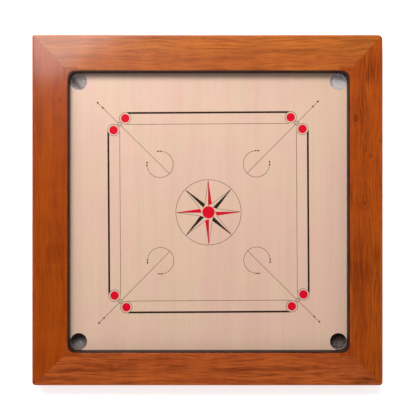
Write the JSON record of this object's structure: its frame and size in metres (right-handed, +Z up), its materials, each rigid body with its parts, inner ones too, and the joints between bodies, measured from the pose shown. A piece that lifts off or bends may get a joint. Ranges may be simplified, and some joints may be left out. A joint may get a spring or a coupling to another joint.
{
  "type": "carrom board",
  "caption": "Square carrom board with a mitred hardwood frame, black linings, a birch plywood field with printed marks of play, netted corner pockets and crossed battens underneath.",
  "frame": {"origin": "centre of the board on the plane that the frame stands on", "axes": "+Z up out of the playing field, +Y towards the back rail, +X towards the right rail"},
  "size_m": [0.93, 0.93, 0.05],
  "materials": {
    "rail_hardwood": "glossy varnished reddish-brown hardwood, grain along each rail",
    "block_hardwood": "glossy varnished hardwood, redder than the rails",
    "black_lining": "black satin lacquer on hardwood",
    "birch_plywood": "clear lacquered birch face veneer, faint straight grain",
    "batten_softwood": "sawn and sanded, unvarnished",
    "zinc_steel": "bright zinc plate",
    "net_cord": "knotted pale grey cord",
    "black_ink": "screen-printed ink under lacquer",
    "red_ink": "screen-printed ink under lacquer"
  },
  "bodies": {
    "root": {"rail_front": "rail_hardwood", "rail_right": "rail_hardwood", "rail_back": "rail_hardwood", "rail_left": "rail_hardwood", "corner_block_front_left": "block_hardwood", "corner_block_front_right": "block_hardwood", "corner_block_back_right": "block_hardwood", "corner_block_back_left": "block_hardwood", "lining_front": "black_lining", "lining_right": "black_lining", "lining_back": "black_lining", "lining_left": "black_lining", "lining_corner_front_left": "black_lining", "lining_corner_front_right": "black_lining", "lining_corner_back_right": "black_lining", "lining_corner_back_left": "black_lining", "playing_panel": "birch_plywood", "batten_across_first": "batten_softwood", "batten_across_middle": "batten_softwood", "batten_across_last": "batten_softwood", "batten_along_first": "batten_softwood", "batten_along_middle": "batten_softwood", "batten_along_last": "batten_softwood", "mitre_spline_front_left": "batten_softwood", "mitre_spline_front_right": "batten_softwood", "mitre_spline_back_right": "batten_softwood", "mitre_spline_back_left": "batten_softwood", "corner_plate_front_left": "zinc_steel", "corner_plate_front_right": "zinc_steel", "corner_plate_back_right": "zinc_steel", "corner_plate_back_left": "zinc_steel", "pocket_net_front_left": "net_cord", "pocket_net_front_right": "net_cord", "pocket_net_back_right": "net_cord", "pocket_net_back_left": "net_cord", "panel_screws": "zinc_steel", "batten_end_screws": "zinc_steel", "batten_crossing_screws": "zinc_steel", "corner_plate_screws": "zinc_steel", "net_staples": "zinc_steel", "base_lines_outer": "black_ink", "base_lines_inner": "black_ink", "base_rings": "black_ink", "pair_boxes": "black_ink", "corner_arrows": "black_ink", "corner_arcs": "black_ink", "centre_ring": "black_ink", "star_black": "black_ink", "star_outlines": "black_ink", "base_spots": "red_ink", "star_red": "red_ink", "centre_spot": "red_ink"}
  },
  "joints": []
}
